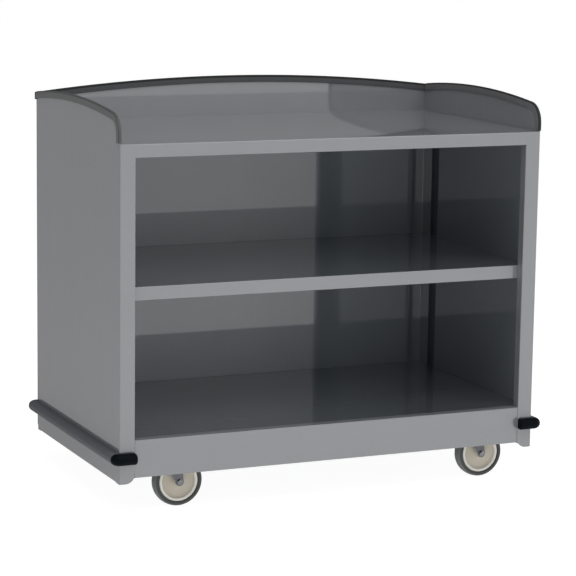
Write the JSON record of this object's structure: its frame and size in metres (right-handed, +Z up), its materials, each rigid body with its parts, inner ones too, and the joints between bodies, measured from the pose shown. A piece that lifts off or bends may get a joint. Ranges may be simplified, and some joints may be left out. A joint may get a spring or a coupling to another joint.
{
  "type": "hydration cart",
  "caption": "Stainless serving cart with an open two-level cabinet, arched gallery round the worktop, push-on edge trim, wrap-round end bumpers and swivel casters.",
  "frame": {"origin": "on the floor under the middle of the cart", "axes": "+X to the right seen from the open front, +Y from the open front towards the back panel, +Z up"},
  "size_m": [1.1824, 0.6858, 1.0212],
  "materials": {
    "steel": "satin stainless sheet with a clear low sheen",
    "frame_steel": "mill finish",
    "edge_trim": "smooth dark grey vinyl",
    "bumper_channel": "matte black vinyl",
    "bumper_rail": "satin grey vinyl",
    "bumper_cap": "satin black vinyl",
    "zinc": "zinc plated pressed steel",
    "hub": "moulded cream polypropylene",
    "tyre": "grey non-marking rubber"
  },
  "bodies": {
    "cart": {"side_panel_left": "steel", "side_panel_right": "steel", "back_panel": "steel", "worktop": "steel", "middle_shelf": "steel", "deck": "steel", "worktop_brace_front": "frame_steel", "worktop_brace_rear": "frame_steel", "shelf_bracket_left": "frame_steel", "shelf_bracket_right": "frame_steel", "shelf_brace": "frame_steel", "chassis_channel_left": "frame_steel", "chassis_channel_right": "frame_steel", "chassis_rail_front": "frame_steel", "chassis_rail_rear": "frame_steel", "edge_trim_left": "edge_trim", "edge_trim_right": "edge_trim", "edge_trim_back": "edge_trim", "bumper_channel_left": "bumper_channel", "bumper_rail_left": "bumper_rail", "bumper_cap_front_left": "bumper_cap", "bumper_cap_rear_left": "bumper_cap", "bumper_channel_right": "bumper_channel", "bumper_rail_right": "bumper_rail", "bumper_cap_front_right": "bumper_cap", "bumper_cap_rear_right": "bumper_cap", "caster_front_left_plate": "zinc", "caster_front_left_kingpin": "zinc", "caster_front_right_plate": "zinc", "caster_front_right_kingpin": "zinc", "caster_rear_left_plate": "zinc", "caster_rear_left_kingpin": "zinc", "caster_rear_right_plate": "zinc", "caster_rear_right_kingpin": "zinc"},
    "caster_front_left_swivel": {"caster_front_left_bearing": "zinc", "caster_front_left_fork": "zinc", "caster_front_left_axle": "zinc", "caster_front_left_sleeve": "zinc"},
    "caster_front_left_wheel": {"caster_front_left_hub": "hub", "caster_front_left_tyre": "tyre"},
    "caster_front_right_swivel": {"caster_front_right_bearing": "zinc", "caster_front_right_fork": "zinc", "caster_front_right_axle": "zinc", "caster_front_right_sleeve": "zinc"},
    "caster_front_right_wheel": {"caster_front_right_hub": "hub", "caster_front_right_tyre": "tyre"},
    "caster_rear_left_swivel": {"caster_rear_left_bearing": "zinc", "caster_rear_left_fork": "zinc", "caster_rear_left_axle": "zinc", "caster_rear_left_sleeve": "zinc"},
    "caster_rear_left_wheel": {"caster_rear_left_hub": "hub", "caster_rear_left_tyre": "tyre"},
    "caster_rear_right_swivel": {"caster_rear_right_bearing": "zinc", "caster_rear_right_fork": "zinc", "caster_rear_right_axle": "zinc", "caster_rear_right_sleeve": "zinc"},
    "caster_rear_right_wheel": {"caster_rear_right_hub": "hub", "caster_rear_right_tyre": "tyre"}
  },
  "joints": [
    {"name": "caster_front_left_swivel_turn", "type": "hinge", "parent": "cart", "child": "caster_front_left_swivel", "pos_m": [-0.4242, -0.22015, 0.1439], "axis": [0, 0, 1], "continuous": true},
    {"name": "caster_front_left_wheel_roll", "type": "hinge", "parent": "caster_front_left_swivel", "child": "caster_front_left_wheel", "pos_m": [-0.3813, -0.22015, 0.0635], "axis": [0, 1, 0], "continuous": true},
    {"name": "caster_front_right_swivel_turn", "type": "hinge", "parent": "cart", "child": "caster_front_right_swivel", "pos_m": [0.4242, -0.22015, 0.1439], "axis": [0, 0, 1], "continuous": true},
    {"name": "caster_front_right_wheel_roll", "type": "hinge", "parent": "caster_front_right_swivel", "child": "caster_front_right_wheel", "pos_m": [0.4671, -0.22015, 0.0635], "axis": [0, 1, 0], "continuous": true},
    {"name": "caster_rear_left_swivel_turn", "type": "hinge", "parent": "cart", "child": "caster_rear_left_swivel", "pos_m": [-0.4242, 0.22015, 0.1439], "axis": [0, 0, 1], "continuous": true},
    {"name": "caster_rear_left_wheel_roll", "type": "hinge", "parent": "caster_rear_left_swivel", "child": "caster_rear_left_wheel", "pos_m": [-0.3813, 0.22015, 0.0635], "axis": [0, 1, 0], "continuous": true},
    {"name": "caster_rear_right_swivel_turn", "type": "hinge", "parent": "cart", "child": "caster_rear_right_swivel", "pos_m": [0.4242, 0.22015, 0.1439], "axis": [0, 0, 1], "continuous": true},
    {"name": "caster_rear_right_wheel_roll", "type": "hinge", "parent": "caster_rear_right_swivel", "child": "caster_rear_right_wheel", "pos_m": [0.4671, 0.22015, 0.0635], "axis": [0, 1, 0], "continuous": true}
  ]
}
